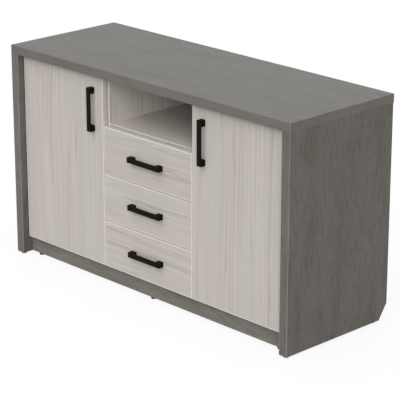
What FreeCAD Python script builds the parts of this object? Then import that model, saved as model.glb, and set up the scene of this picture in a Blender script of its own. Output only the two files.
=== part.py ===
import FreeCAD, Part
import os
import re

import Sketcher
from FreeCAD import Placement, Rotation, Vector

# Office sideboard: two hinged doors, an open niche over three drawers, and a mini fridge behind the
# right door. Millimetres, +Z up, +X to the right, the front faces -Y. The origin lies on the floor
# under the middle of the top.

SIZES = {
    # Overall
    "width": 1400,
    "depth": 500,
    "top_thickness": 32,
    "end_thickness": 36,
    "end_height": 768,
    "rear_overhang": 3,
    "skirting_depth": 38,
    "skirting_height": 55,
    "edge_radius": 1,
    # Carcass boards
    "board": 18,
    "plinth_height": 62,
    "divider_offset": 225,
    "niche_height": 173,
    "rail_height": 40,
    "rail_setback": 110,
    "back_thickness": 4,
    "back_inset": 15,
    "groove_depth": 6,
    "groove_play": 0.2,
    "vent_side": 95,
    "vent_slot": 10,
    "vent_pitch": 22,
    "vent_margin": 70,
    # Glides
    "glide_height": 7,
    "glide_radius": 10,
    "glide_chamfer": 1.5,
    "glide_inset": 17,
    "glide_end_distance": 80,
    # Doors and drawer fronts
    "front_setback": 27,
    "front_thickness": 18,
    "front_gap": 3,
    "front_lift": 1,
    "front_clearance": 3,
    "shelf_cover": 9,
    # Bridge handles
    "handle_length": 160,
    "handle_width": 19,
    "handle_depth": 23,
    "handle_strip": 4.5,
    "handle_foot": 21.5,
    "handle_edge": 1,
    "handle_inner_radius": 3,
    "handle_side_distance": 53.5,
    "handle_drop": 46,
    # Door pivots
    "pivot_edge": 8.5,
    "pivot_face": 7,
    "pivot_radius": 2.5,
    "pivot_play": 0.05,
    "pivot_length": 11,
    "plate_thickness": 2,
    "plate_width": 20,
    "plate_length": 90,
    "plate_nose": 7,
    "bush_radius": 4.2,
    "bush_length": 13,
    "bush_flange_radius": 5.5,
    "bush_flange": 0.7,
    # Loose shelves
    "shelf_play": 1,
    "shelf_setback": 22,
    "pin_radius": 2.5,
    "pin_play": 0.05,
    "pin_depth": 10,
    "pin_reach": 9,
    "pin_pitch": 32,
    "pin_inset": 60,
    "lower_pins": 190,
    "upper_pins": 420,
    # Drawer boxes
    "box_board": 12,
    "box_height": 120,
    "box_rear_gap": 33,
    "box_lift": 22,
    "box_back_drop": 12,
    "tray_thickness": 4,
    "tray_lift": 10,
    # Ball-bearing slides
    "slide_thickness": 12.7,
    "slide_half": 22.5,
    "slide_metal": 1.2,
    "slide_gap": 0.4,
    "slide_rear_gap": 26,
    "slide_setback": 4,
    # Mini fridge
    "fridge_side_gap": 15,
    "fridge_height": 548,
    "fridge_rear_air": 56,
    "fridge_corner": 8,
    "wall_side": 32,
    "wall_top": 36,
    "wall_rear": 40,
    "liner_wall": 2,
    "ledge": 6,
    "foot_height": 10,
    "foot_radius": 15,
    "foot_inset": 55,
    "fridge_door_gap": 18,
    "fridge_door_thickness": 36,
    "fridge_door_trim": 2,
    "fridge_door_corner": 5,
    "fridge_pivot_edge": 7.5,
    "fridge_pivot_face": 7,
    "fridge_pin_radius": 3,
    "fridge_pin_length": 14,
    "hinge_plate": 2,
    "hinge_plate_width": 30,
    "hinge_plate_reach": 45,
    "gasket_depth": 8,
    "gasket_width": 14,
    "gasket_margin": 9,
    "seal_gap": 0.3,
    "dyke_clearance": 12,
    "dyke_width": 10,
    "dyke_depth": 34,
    "door_sheet": 4,
    "bin_height": 55,
    "lower_bin": 20,
    "upper_bin": 240,
    "glass": 4,
    "glass_setback": 45,
    "glass_stop": 12,
    "lower_glass": 130,
    "upper_glass": 250,
    "ice_side_gap": 46,
    "ice_height": 85,
    "ice_rear_gap": 23,
    "ice_sheet": 2,
    "ice_setback": 60,
    "dial_depth": 24,
    "dial_length": 70,
    "dial_height": 50,
    "dial_setback": 60,
    "dial_above_glass": 60,
    "knob_radius": 15,
    "knob_depth": 13,
    "knob_gap": 0.3,
    "spindle_radius": 3,
    "spindle_length": 12,
    "tube_base": 40,
    "tube_radius": 3,
    "bend_radius": 3.6,
    "tube_pitch": 40,
    "tube_margin": 65,
    "tube_stand": 16,
    "strap_width": 14,
    "strap_inset": 50,
    # Link between the right door and the fridge door
    "axis_shift": 31,
    "link_edge": 134.5,
    "link_stand": 11,
    "link_thickness": 3,
    "link_half_width": 7,
    "link_end_radius": 6.9,
    "link_pin_radius": 2.5,
    "link_gap": 0.3,
    "pin_plate": 2,
    "pin_plate_half": 14,
    "bracket_sheet": 2,
    "bracket_half": 18,
    "bracket_drop": 30,
    "bracket_tongue": 20,
}

LAYOUT = {
    # Planes of the carcass
    "half_width": "width / 2",
    "inner_half": "width / 2 - end_thickness",
    "front_y": "-depth / 2",
    "end_depth": "depth - rear_overhang",
    "end_rear": "depth / 2 - rear_overhang",
    "top_under": "glide_height + end_height",
    "front_base": "glide_height + plinth_height",
    "floor_top": "front_base + board",
    "face_y": "front_y + front_setback",
    "door_back": "face_y + front_thickness",
    "carcass_front": "door_back + front_clearance",
    "carcass_depth": "end_rear - carcass_front",
    "back_rear": "end_rear - back_inset",
    "back_front": "back_rear - back_thickness",
    "shelf_top": "top_under - niche_height",
    "shelf_under": "shelf_top - board",
    "bay_half": "divider_offset - board / 2",
    "side_bay": "inner_half - divider_offset - board / 2",
    "bay_height": "top_under - floor_top",
    "vent_width": "side_bay - 2 * vent_side",
    "back_bite": "groove_depth - groove_play",
    "groove_width": "back_thickness + groove_play",
    # Doors and drawer fronts
    "front_bottom": "front_base + front_lift",
    "door_height": "top_under - front_gap - front_bottom",
    "door_width": "inner_half - divider_offset - 1.5 * front_gap",
    "drawer_width": "2 * divider_offset - front_gap",
    "stack_height": "shelf_under + shelf_cover - front_bottom",
    "drawer_height": "(stack_height - 2 * front_gap) / 3",
    "drawer_step": "drawer_height + front_gap",
    "door_handle_x": "divider_offset + front_gap / 2 + handle_side_distance",
    "door_handle_z": "front_bottom + door_height - handle_drop - handle_length / 2",
    # Door pivots
    "pivot_x": "inner_half - front_gap - pivot_edge",
    "pivot_y": "face_y + pivot_face",
    "plate_edge": "pivot_x - plate_width / 2",
    # Drawer boxes and slides
    "box_half": "bay_half - slide_thickness",
    "box_depth": "back_front - door_back - box_rear_gap",
    "tray_half": "box_half - box_board + back_bite",
    "slide_front": "carcass_front + slide_setback",
    "slide_length": "back_front - slide_front - slide_rear_gap",
    "slide_tip": "slide_thickness - slide_metal - slide_gap",
    "middle_half": "slide_half - slide_metal - slide_gap",
    "inner_member_half": "middle_half - slide_metal - slide_gap",
    # Mini fridge
    "fridge_axis_x": "pivot_x - axis_shift",
    "fridge_axis_y": "door_back + fridge_door_gap + fridge_pivot_face",
    "axis_rise": "fridge_axis_y - pivot_y",
    "fridge_left": "divider_offset + board / 2 + fridge_side_gap",
    "fridge_right": "fridge_axis_x + fridge_pivot_edge",
    "fridge_width": "fridge_right - fridge_left",
    "fridge_base": "floor_top + foot_height",
    "fridge_top": "fridge_base + fridge_height",
    "fridge_door_front": "door_back + fridge_door_gap",
    "fridge_door_rear": "fridge_door_front + fridge_door_thickness",
    "fridge_door_height": "fridge_height - 2 * fridge_door_trim",
    "case_front": "fridge_door_rear + gasket_depth",
    "case_rear": "back_front - fridge_rear_air",
    "fridge_depth": "case_rear - case_front",
    "cavity_width": "fridge_width - 2 * wall_side",
    "cavity_height": "fridge_height - 2 * wall_top",
    "cavity_depth": "fridge_depth - wall_rear",
    "room_left": "fridge_left + wall_side + liner_wall",
    "room_width": "cavity_width - 2 * liner_wall",
    "room_base": "fridge_base + wall_top + liner_wall",
    "room_height": "cavity_height - 2 * liner_wall",
    "ice_width": "room_width - 2 * ice_side_gap",
    "ice_depth": "cavity_depth - liner_wall - ice_setback - ice_rear_gap",
    "tube_run": "fridge_width - 2 * tube_margin",
    "strap_distance": "tube_run - 2 * strap_inset",
    "dyke_box_width": "room_width - 2 * dyke_clearance",
    "dyke_box_height": "room_height - 2 * dyke_clearance",
    "dial_base": "room_base + upper_glass + glass + dial_above_glass",
    "dial_front": "case_front + dial_setback",
    "knob_face": "room_left + room_width - dial_depth - knob_gap",
    # Link between the doors
    "link_x": "pivot_x - door_width + link_edge",
    "link_y": "door_back + link_stand",
    "link_base": "fridge_top - fridge_door_trim + pin_plate + link_gap",
    "link_top": "link_base + link_thickness",
    "link_span": "sqrt(axis_shift ^ 2 + axis_rise ^ 2)",
    "link_turn": "atan(axis_shift / axis_rise)",
}

DRAWERS = (1, 2, 3)
PIN_HOLES = 3
VENT_SLOTS = 5
CONDENSER_RUNS = 9
STRAIGHT = 0.999
NEAR = 0.01
NAMED_VALUE = re.compile(r"[a-z][a-z_]+")
UPSIDE_DOWN = Rotation(Vector(1, 0, 0), 180)
HALF_TURN = Rotation(Vector(0, 0, 1), 180)
LENGTH_UP_FACE_OUT = Rotation(Vector(0, 0, 1), Vector(0, -1, 0), Vector(1, 0, 0), "XYZ")

doc = FreeCAD.newDocument("Sideboard")
nodes = []


def make_sheet(name, cells):
    """Write one named cell per row."""
    sheet = doc.addObject("Spreadsheet::Sheet", name)
    for row, (alias, content) in enumerate(cells.items(), start=1):
        sheet.set(f"A{row}", alias)
        sheet.set(f"B{row}", content)
        sheet.setAlias(f"B{row}", alias)
    doc.recompute()
    return sheet


def formula(text):
    """Put the sheet's name before each named value of an expression."""

    def with_sheet(match):
        word = match.group(0)
        if word in SIZES:
            return "Sizes." + word
        if word in LAYOUT:
            return "Layout." + word
        return word

    return NAMED_VALUE.sub(with_sheet, text)


sizes = make_sheet("Sizes", {alias: str(value) for alias, value in SIZES.items()})
layout = make_sheet("Layout", {alias: "=" + formula(text) for alias, text in LAYOUT.items()})


def number(text):
    """Value of an expression in named values."""
    return float(sizes.evalExpression(formula(text)))


def rectangle(left, low, right, high):
    """Corners of an upright rectangle, as expressions."""
    return [(left, low), (right, low), (right, high), (left, high)]


def runs_along(axis):
    """Test for straight edges parallel to a direction."""

    def test(edge):
        start, end = edge.Vertexes[0].Point, edge.Vertexes[-1].Point
        reach = end - start
        return reach.Length > 0 and abs(reach.normalize().dot(axis)) > STRAIGHT

    return test


class Piece:
    """One body, drawn from its own corner and placed by expressions."""

    def __init__(self, label, x, y, z, turn=None):
        self.body = doc.addObject("PartDesign::Body", label)
        self.body.Label = label
        if turn:
            self.body.Placement = Placement(Vector(), turn)
        for axis, text in zip("xyz", (x, y, z)):
            self.body.setExpression(f"Placement.Base.{axis}", formula(text))

    def draw(self, plane, loops, lift="0"):
        """Sketch on an origin plane, lifted along the positive axis that the plane is square to."""
        role = plane + "_Plane"
        support = [item for item in self.body.Origin.OriginFeatures if item.Role == role][0]
        sketch = self.body.newObject("Sketcher::SketchObject", f"{self.body.Name}_sketch")
        sketch.AttachmentSupport = [(support, "")]
        sketch.MapMode = "FlatFace"
        sign = "-" if plane == "XZ" else ""
        sketch.setExpression("AttachmentOffset.Base.z", formula(f"{sign}({lift})"))
        for loop in loops:
            if isinstance(loop, list):
                self.add_polygon(sketch, loop)
            else:
                self.add_circle(sketch, *loop)
        return sketch

    def place_point(self, sketch, geometry, vertex, x, y):
        """Hold one sketch point at expressions of the named values."""
        for kind, text in (("DistanceX", x), ("DistanceY", y)):
            datum = Sketcher.Constraint(kind, -1, 1, geometry, vertex, number(text))
            index = sketch.addConstraint(datum)
            sketch.setExpression(f"Constraints[{index}]", formula(text))

    def add_polygon(self, sketch, points):
        first = sketch.GeometryCount
        corners = [Vector(number(x), number(y), 0) for x, y in points]
        for start, end in zip(corners, corners[1:] + corners[:1]):
            sketch.addGeometry(Part.LineSegment(start, end))
        for side in range(len(points)):
            following = (side + 1) % len(points)
            sketch.addConstraint(Sketcher.Constraint("Coincident", first + side, 2, first + following, 1))
        for side, (x, y) in enumerate(points):
            self.place_point(sketch, first + side, 1, x, y)

    def add_circle(self, sketch, x, y, radius):
        centre = Vector(number(x), number(y), 0)
        geometry = sketch.addGeometry(Part.Circle(centre, Vector(0, 0, 1), number(radius)))
        self.place_point(sketch, geometry, 3, x, y)
        index = sketch.addConstraint(Sketcher.Constraint("Radius", geometry, number(radius)))
        sketch.setExpression(f"Constraints[{index}]", formula(radius))

    def pad(self, plane, loops, length, start="0"):
        """Add the drawn area from a start plane along the positive axis."""
        feature = self.body.newObject("PartDesign::Pad", f"{self.body.Name}_pad")
        feature.Profile = self.draw(plane, loops, start)
        feature.setExpression("Length", formula(length))
        feature.Reversed = plane == "XZ"
        doc.recompute()
        return self

    def cut(self, plane, loops, length, start="0"):
        """Remove the drawn area from a start plane along the positive axis."""
        before = self.body.Shape.Volume
        feature = self.body.newObject("PartDesign::Pocket", f"{self.body.Name}_pocket")
        feature.Profile = self.draw(plane, loops, start)
        feature.setExpression("Length", formula(length))
        feature.Reversed = plane != "XZ"
        doc.recompute()
        if not self.body.Shape.Volume < before:
            raise RuntimeError(f"a cut in {self.body.Label} removes nothing")
        return self

    def repeat(self, axis, pitch, count):
        """Repeat the last feature along one of its sketch's axes."""
        original = self.body.Tip
        feature = self.body.newObject("PartDesign::LinearPattern", f"{self.body.Name}_row")
        feature.Originals = [original]
        feature.Direction = (original.Profile[0], [axis])
        feature.setExpression("Length", formula(f"{count - 1} * {pitch}"))
        feature.Occurrences = count
        self.body.Tip = feature
        doc.recompute()
        return self

    def revolve(self, points):
        """Turn a half section, drawn as radius and height, about the upright axis."""
        feature = self.body.newObject("PartDesign::Revolution", f"{self.body.Name}_turned")
        sketch = self.draw("XZ", [points])
        feature.Profile = sketch
        feature.ReferenceAxis = (sketch, ["V_Axis"])
        feature.Angle = 360
        doc.recompute()
        return self

    def round(self, radius, choose=None):
        """Round the chosen edges of what the body has so far."""
        base = self.body.Tip
        edges = [
            f"Edge{place}"
            for place, edge in enumerate(base.Shape.Edges, start=1)
            if choose is None or choose(edge)
        ]
        feature = self.body.newObject("PartDesign::Fillet", f"{self.body.Name}_round")
        feature.Base = (base, edges)
        feature.setExpression("Radius", formula(radius))
        doc.recompute()
        return self

    def node(self):
        """Hand the body in as a sub-part of its own."""
        nodes.append(self.body)
        return self


def group(label, pieces):
    """Hand in several loose pieces as one sub-part."""
    compound = doc.addObject("Part::Compound", label)
    compound.Label = label
    compound.Links = [piece.body for piece in pieces]
    nodes.append(compound)


def slab(label, x, y, z, across, deep, high):
    """Rectangular board standing on its lower face."""
    return Piece(label, x, y, z).pad("XY", [rectangle("0", "0", across, deep)], high)


# Top, ends and plinth


def make_top_panel():
    piece = slab("top_panel", "-half_width", "front_y", "top_under", "width", "depth", "top_thickness")
    piece.round("edge_radius")
    groove = rectangle(
        "end_thickness - groove_depth",
        "back_front - groove_play - front_y",
        "width - end_thickness + groove_depth",
        "back_rear - front_y",
    )
    piece.cut("XY", [groove], "groove_depth").node()


def make_end_panel(side):
    left = side == "left"
    piece = Piece(f"{side}_end_panel", "-half_width" if left else "inner_half", "front_y", "glide_height")
    profile = [
        ("0", "0"),
        ("end_depth - skirting_depth", "0"),
        ("end_depth", "skirting_height"),
        ("end_depth", "end_height"),
        ("0", "end_height"),
    ]
    piece.pad("YZ", [profile], "end_thickness").round("edge_radius")
    groove = rectangle(
        "end_depth - back_inset - groove_width",
        "floor_top - glide_height - groove_depth",
        "end_depth - back_inset",
        "end_height",
    )
    piece.cut("YZ", [groove], "groove_depth", "end_thickness - groove_depth" if left else "0")
    if left:
        drill_pin_rows(piece, "end_thickness - pin_depth", "carcass_front - front_y", "glide_height")
    piece.node()


def drill_pin_rows(piece, start, front_edge, base):
    """A column of holes around each shelf height, near the front and the rear of the bay."""
    for level in ("lower_pins", "upper_pins"):
        low = f"floor_top + {level} - pin_pitch - {base}"
        near = f"{front_edge} + shelf_setback + pin_inset"
        far = f"{front_edge} + back_front - carcass_front - pin_inset"
        holes = [(y, low, "pin_radius + pin_play") for y in (near, far)]
        piece.cut("YZ", holes, "pin_depth", start).repeat("V_Axis", "pin_pitch", PIN_HOLES)


def make_plinth():
    piece = slab(
        "plinth_board",
        "-inner_half",
        "door_back",
        "glide_height",
        "2 * inner_half",
        "board",
        "plinth_height",
    )
    notches = [
        rectangle("0", "plinth_height - plate_thickness", "inner_half - plate_edge", "plinth_height"),
        rectangle(
            "inner_half + plate_edge", "plinth_height - plate_thickness", "2 * inner_half", "plinth_height"
        ),
    ]
    piece.cut("XZ", notches, "board").node()
    slab(
        "rear_rail",
        "-inner_half",
        "end_rear - rail_setback",
        "front_base - rail_height",
        "2 * inner_half",
        "board",
        "rail_height",
    ).node()


def make_glides():
    section = [
        ("0", "0"),
        ("glide_radius - glide_chamfer", "0"),
        ("glide_radius", "glide_chamfer"),
        ("glide_radius", "glide_height"),
        ("0", "glide_height"),
    ]
    plinth_y = "door_back + board / 2"
    end_x = "half_width - end_thickness / 2"
    places = [(f"{sign} * (half_width - glide_end_distance)", plinth_y) for sign in (-1, 0, 1)]
    for sign in (-1, 1):
        places.append((f"{sign} * ({end_x})", "front_y + glide_inset"))
        places.append((f"{sign} * ({end_x})", "end_rear - skirting_depth - glide_inset"))
    glides = [
        Piece(f"glide_{place}", x, y, "0").revolve(section) for place, (x, y) in enumerate(places, start=1)
    ]
    group("glides", glides)


# Inner boards


def make_bottom_panel():
    piece = slab(
        "bottom_panel",
        "-inner_half",
        "carcass_front",
        "front_base",
        "2 * inner_half",
        "carcass_depth",
        "board",
    )
    groove = rectangle(
        "0", "back_front - groove_play - carcass_front", "2 * inner_half", "back_rear - carcass_front"
    )
    piece.cut("XY", [groove], "groove_depth", "board - groove_depth").node()


def make_divider(side):
    left = side == "left"
    middle = "-divider_offset" if left else "divider_offset"
    piece = slab(
        f"{side}_divider",
        f"{middle} - board / 2",
        "carcass_front",
        "floor_top",
        "board",
        "carcass_depth",
        "bay_height",
    )
    groove = rectangle(
        "back_front - groove_play - carcass_front", "0", "back_rear - carcass_front", "bay_height"
    )
    piece.cut("YZ", [groove], "groove_depth")
    piece.cut("YZ", [groove], "groove_depth", "board - groove_depth")
    if left:
        drill_pin_rows(piece, "0", "0", "floor_top")
    piece.node()


def make_niche_shelf():
    slab(
        "niche_shelf",
        "-bay_half",
        "carcass_front",
        "shelf_under",
        "2 * bay_half",
        "back_front - carcass_front",
        "board",
    ).node()


def make_back_panels():
    """Thin backs let into grooves all round; the fridge bay's back has two banks of air slots."""
    bays = {
        "left": ("-inner_half", "side_bay"),
        "centre": ("-bay_half", "2 * bay_half"),
        "right": ("bay_half + board", "side_bay"),
    }
    high = "bay_height + 2 * back_bite"
    for name, (start, span) in bays.items():
        across = f"{span} + 2 * back_bite"
        piece = slab(
            f"back_panel_{name}",
            f"{start} - back_bite",
            "back_front",
            "floor_top - back_bite",
            across,
            "back_thickness",
            high,
        )
        if name == "right":
            for low in ("vent_margin", f"{high} - vent_margin - {VENT_SLOTS - 1} * vent_pitch"):
                slot = rectangle(
                    f"({across} - vent_width) / 2",
                    low,
                    f"({across} + vent_width) / 2",
                    f"{low} + vent_slot",
                )
                piece.cut("XZ", [slot], "back_thickness").repeat("V_Axis", "vent_pitch", VENT_SLOTS)
        piece.node()


def make_left_shelves():
    shelves = []
    pins = []
    pin = [
        ("0", "-(pin_depth - groove_play)"),
        ("pin_radius", "-(pin_depth - groove_play)"),
        ("pin_radius", "pin_reach"),
        ("0", "pin_reach"),
    ]
    left_wall = "-inner_half"
    right_wall = "-divider_offset - board / 2"
    pointing_right = Rotation(Vector(0, 1, 0), 90)
    pointing_left = Rotation(Vector(0, 1, 0), -90)
    for name in ("lower", "upper"):
        height = f"floor_top + {name}_pins"
        shelf = slab(
            f"{name}_shelf",
            "-inner_half + shelf_play",
            "carcass_front + shelf_setback",
            f"{height} + pin_radius",
            "side_bay - 2 * shelf_play",
            "back_front - carcass_front - shelf_setback - shelf_play",
            "board",
        )
        shelves.append(shelf)
        for y in ("carcass_front + shelf_setback + pin_inset", "back_front - pin_inset"):
            for wall, turn in ((left_wall, pointing_right), (right_wall, pointing_left)):
                pins.append(Piece(f"pin_{len(pins) + 1}", wall, y, height, turn).revolve(pin))
    group("left_shelves", shelves)
    group("shelf_pins", pins)


# Handles, doors and pivots


def make_handle(label, x, z, upright=False):
    """Flat strip between two block feet, on the front face; x and z give its middle."""
    if upright:
        corner = (f"{x} - handle_width / 2", "face_y", f"{z} - handle_length / 2")
        piece = Piece(label, *corner, LENGTH_UP_FACE_OUT)
    else:
        corner = (f"{x} - handle_length / 2", "face_y", f"{z} + handle_width / 2")
        piece = Piece(label, *corner, UPSIDE_DOWN)
    inside = "handle_depth - handle_strip"
    profile = [
        ("0", "0"),
        ("handle_foot", "0"),
        ("handle_foot", inside),
        ("handle_length - handle_foot", inside),
        ("handle_length - handle_foot", "0"),
        ("handle_length", "0"),
        ("handle_length", "handle_depth"),
        ("0", "handle_depth"),
    ]
    piece.pad("XY", [profile], "handle_width")
    upright_edge = runs_along(Vector(0, 0, 1))
    outer_face = number("handle_depth")
    inner_face = number(inside)
    piece.round(
        "handle_inner_radius",
        lambda edge: upright_edge(edge) and abs(edge.CenterOfMass.y - inner_face) < NEAR,
    )
    piece.round("handle_edge", lambda edge: abs(edge.CenterOfMass.y - outer_face) < NEAR)
    piece.node()


def make_door(side):
    left = side == "left"
    x = "-inner_half + front_gap" if left else "divider_offset + front_gap / 2"
    pivot = "pivot_edge" if left else "door_width - pivot_edge"
    size = ("door_width", "front_thickness", "door_height")
    piece = slab(f"{side}_door", x, "face_y", "front_bottom", *size)
    piece.round("edge_radius")
    socket = [(pivot, "pivot_face", "bush_radius + pivot_play")]
    piece.cut("XY", socket, "bush_length")
    piece.cut("XY", socket, "bush_length", "door_height - bush_length").node()
    sign = "-" if left else ""
    make_handle(f"{side}_door_handle", f"{sign}door_handle_x", "door_handle_z", upright=True)
    make_door_bushes(side, f"{sign}pivot_x")
    make_pivot_plates(side, f"{sign}pivot_x")


def make_door_bushes(side, x):
    section = [
        ("pivot_radius + pivot_play", "-bush_flange"),
        ("bush_flange_radius", "-bush_flange"),
        ("bush_flange_radius", "0"),
        ("bush_radius", "0"),
        ("bush_radius", "bush_length - groove_play"),
        ("pivot_radius + pivot_play", "bush_length - groove_play"),
    ]
    bottom = Piece(f"{side}_bottom_bush", x, "pivot_y", "front_bottom").revolve(section)
    top = Piece(f"{side}_top_bush", x, "pivot_y", "front_bottom + door_height", UPSIDE_DOWN)
    group(f"{side}_door_bushes", [bottom, top.revolve(section)])


def make_pivot_plates(side, x):
    """Flat plates under the bottom board and under the top, each with a pin in its nose."""
    strip = rectangle("0", "0", "plate_width", "plate_length")
    pin = [("plate_width / 2", "plate_nose", "pivot_radius")]
    nose_end = number("plate_nose")
    upright_edge = runs_along(Vector(0, 0, 1))
    corner = f"{x} - plate_width / 2"
    plates = []
    for name, low, pin_start in (
        ("bottom", "front_base - plate_thickness", "plate_thickness"),
        ("top", "top_under - plate_thickness", "-pivot_length"),
    ):
        plate = Piece(f"{side}_{name}_pivot_plate", corner, "pivot_y - plate_nose", low)
        plate.pad("XY", [strip], "plate_thickness")
        plate.round("plate_nose", lambda edge: upright_edge(edge) and edge.CenterOfMass.y < nose_end)
        plate.pad("XY", pin, "pivot_length", pin_start)
        plates.append(plate)
    group(f"{side}_pivot_plates", plates)


# Drawers and their slides


def channel(web, inner_web, tip, half):
    """Section of a folded rail: an upright web with a flange at each end."""
    return [
        (web, f"-{half}"),
        (tip, f"-{half}"),
        (tip, f"slide_metal - {half}"),
        (inner_web, f"slide_metal - {half}"),
        (inner_web, f"{half} - slide_metal"),
        (tip, f"{half} - slide_metal"),
        (tip, half),
        (web, half),
    ]


SLIDE_SECTIONS = {
    "outer": channel("0", "slide_metal", "slide_tip", "slide_half"),
    "middle": channel(
        "slide_metal + slide_gap", "2 * slide_metal + slide_gap", "slide_tip", "middle_half"
    ),
    "inner": channel(
        "slide_thickness",
        "slide_thickness - slide_metal",
        "2 * slide_metal + 2 * slide_gap",
        "inner_member_half",
    ),
}


def make_slide_members(member, drawer, z):
    """One member of the left slide and its twin, turned round, of the right slide."""
    section = SLIDE_SECTIONS[member]
    stem = f"drawer_{drawer}_slide_{member}"
    left = Piece(f"{stem}_left", "-bay_half", "slide_front", z)
    right = Piece(f"{stem}_right", "bay_half", "slide_front + slide_length", z, HALF_TURN)
    return [piece.pad("XZ", [section], "slide_length") for piece in (left, right)]


def make_drawer(drawer):
    low = f"front_bottom + {DRAWERS[-1] - drawer} * drawer_step"
    box_low = f"{low} + box_lift"
    tray_low = f"{box_low} + tray_lift"
    name = f"drawer_{drawer}"

    front = slab(
        f"{name}_front",
        "-drawer_width / 2",
        "face_y",
        low,
        "drawer_width",
        "front_thickness",
        "drawer_height",
    )
    front.round("edge_radius")
    slot = rectangle(
        "drawer_width / 2 - tray_half - groove_play",
        "box_lift + tray_lift",
        "drawer_width / 2 + tray_half + groove_play",
        "box_lift + tray_lift + tray_thickness + groove_play",
    )
    front.cut("XZ", [slot], "groove_depth", "front_thickness - groove_depth").node()
    make_handle(f"{name}_handle", "0", f"{low} + drawer_height / 2")

    groove = rectangle("0", "tray_lift", "box_depth", "tray_lift + tray_thickness + groove_play")
    sides = []
    for side, x, start in (
        ("left", "-box_half", "box_board - groove_depth"),
        ("right", "box_half - box_board", "0"),
    ):
        board = slab(f"{name}_{side}_side", x, "door_back", box_low, "box_board", "box_depth", "box_height")
        sides.append(board.cut("YZ", [groove], "groove_depth", start))
    group(f"{name}_sides", sides)

    slab(
        f"{name}_back",
        "box_board - box_half",
        "door_back + box_depth - box_board",
        f"{tray_low} + tray_thickness",
        "2 * (box_half - box_board)",
        "box_board",
        "box_height - tray_lift - tray_thickness - box_back_drop",
    ).node()
    slab(
        f"{name}_bottom",
        "-tray_half",
        "door_back - back_bite",
        tray_low,
        "2 * tray_half",
        "box_depth + back_bite",
        "tray_thickness",
    ).node()

    slide_z = f"{box_low} + box_height / 2"
    group(f"{name}_slide_inner", make_slide_members("inner", drawer, slide_z))
    group(f"{name}_slide_middle", make_slide_members("middle", drawer, slide_z))
    return make_slide_members("outer", drawer, slide_z)


# Mini fridge: insulated case, liner and what hangs in it


def make_fridge_case():
    piece = slab(
        "fridge_case",
        "fridge_left",
        "case_front",
        "fridge_base",
        "fridge_width",
        "fridge_depth",
        "fridge_height",
    )
    piece.round("fridge_corner", runs_along(Vector(0, 1, 0)))
    cavity = rectangle("wall_side", "wall_top", "fridge_width - wall_side", "fridge_height - wall_top")
    piece.cut("XZ", [cavity], "cavity_depth").node()

    liner = slab(
        "fridge_liner",
        "fridge_left + wall_side",
        "case_front",
        "fridge_base + wall_top",
        "cavity_width",
        "cavity_depth",
        "cavity_height",
    )
    room = rectangle(
        "liner_wall", "liner_wall", "cavity_width - liner_wall", "cavity_height - liner_wall"
    )
    liner.cut("XZ", [room], "cavity_depth - liner_wall")
    for level in ("lower_glass", "upper_glass"):
        low = f"liner_wall + {level} - ledge"
        high = f"liner_wall + {level}"
        ledges = [
            rectangle("liner_wall", low, "liner_wall + ledge", high),
            rectangle("cavity_width - liner_wall - ledge", low, "cavity_width - liner_wall", high),
        ]
        liner.pad("XZ", ledges, "cavity_depth - liner_wall - glass_setback", "glass_setback")
    liner.node()


def make_fridge_feet():
    section = [
        ("0", "0"),
        ("foot_radius - glide_chamfer", "0"),
        ("foot_radius", "glide_chamfer"),
        ("foot_radius", "foot_height"),
        ("0", "foot_height"),
    ]
    feet = []
    for x in ("fridge_left + foot_inset", "fridge_right - foot_inset"):
        for y in ("case_front + foot_inset", "case_rear - foot_inset"):
            feet.append(Piece(f"fridge_foot_{len(feet) + 1}", x, y, "floor_top").revolve(section))
    group("fridge_feet", feet)


def make_fridge_shelves():
    """Glass shelves with a turned-up rear stop, lying on the liner's ledges."""
    deep = "cavity_depth - liner_wall - glass_setback - shelf_play"
    stop = [
        ("0", "0"),
        (deep, "0"),
        (deep, "glass_stop"),
        (f"{deep} - glass", "glass_stop"),
        (f"{deep} - glass", "glass"),
        ("0", "glass"),
    ]
    shelves = []
    for level in ("lower_glass", "upper_glass"):
        shelf = Piece(
            f"fridge_{level}",
            "room_left + shelf_play",
            "case_front + glass_setback",
            f"room_base + {level}",
        )
        shelves.append(shelf.pad("YZ", [stop], "room_width - 2 * shelf_play"))
    group("fridge_shelves", shelves)


def make_ice_compartment():
    """Folded evaporator sheet under the ceiling: a sleeve open at the front and the rear."""
    section = rectangle("0", "0", "ice_width", "ice_height")
    hole = rectangle("ice_sheet", "ice_sheet", "ice_width - ice_sheet", "ice_height - ice_sheet")
    piece = Piece(
        "ice_compartment",
        "room_left + (room_width - ice_width) / 2",
        "case_front + ice_setback",
        "room_base + room_height - ice_height",
    )
    piece.pad("XZ", [section, hole], "ice_depth").node()


def make_thermostat():
    housing = slab(
        "thermostat_housing",
        "room_left + room_width - dial_depth",
        "dial_front",
        "dial_base",
        "dial_depth",
        "dial_length",
        "dial_height",
    )
    front = number("dial_depth") / 2
    housing.round("glide_chamfer", lambda edge: edge.CenterOfMass.x < front)
    bore = [("dial_length / 2", "dial_height / 2", "spindle_radius + pivot_play")]
    housing.cut("YZ", bore, "spindle_length + groove_play").node()

    pointing_left = Rotation(Vector(0, 1, 0), -90)
    knob = Piece(
        "thermostat_knob",
        "knob_face",
        "dial_front + dial_length / 2",
        "dial_base + dial_height / 2",
        pointing_left,
    )
    section = [
        ("0", "-spindle_length - knob_gap"),
        ("spindle_radius", "-spindle_length - knob_gap"),
        ("spindle_radius", "0"),
        ("knob_radius", "0"),
        ("knob_radius - glide_chamfer", "knob_depth / 2"),
        ("0", "knob_depth / 2"),
    ]
    grip_half = "(knob_radius - 2 * glide_chamfer)"
    grip = rectangle(f"-{grip_half}", "-spindle_radius", grip_half, "spindle_radius")
    knob.revolve(section).pad("XY", [grip], "knob_depth").node()


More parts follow.
